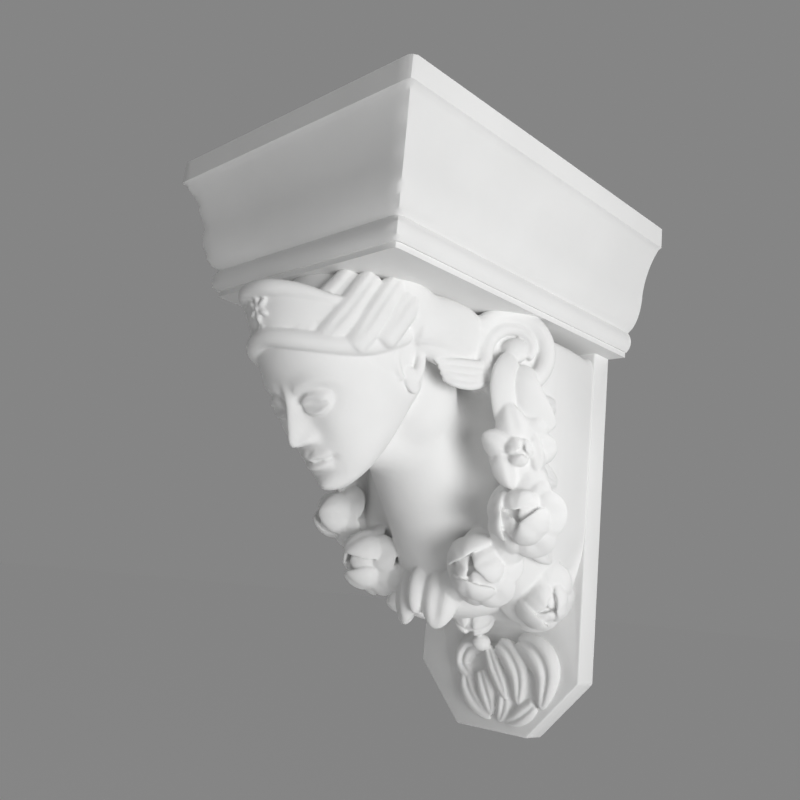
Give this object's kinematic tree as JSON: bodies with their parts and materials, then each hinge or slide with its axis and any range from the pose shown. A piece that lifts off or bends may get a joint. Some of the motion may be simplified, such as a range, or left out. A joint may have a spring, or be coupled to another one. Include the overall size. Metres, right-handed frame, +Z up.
{
  "type": "plaster corbel",
  "caption": "White plaster wall corbel: a moulded top block carried by a bowed female head between scrolls, with a rose festoon and a leaf drop on a flat wall plate.",
  "frame": {"origin": "middle of the flat back face, at half the height, where the corbel meets the wall", "axes": "+Z up, +Y into the wall, the carved front looks along -Y"},
  "size_m": [0.242, 0.2925, 0.4],
  "materials": {
    "plaster": "matte white cast plaster"
  },
  "bodies": {
    "root": {"corbel": "plaster"}
  },
  "joints": []
}
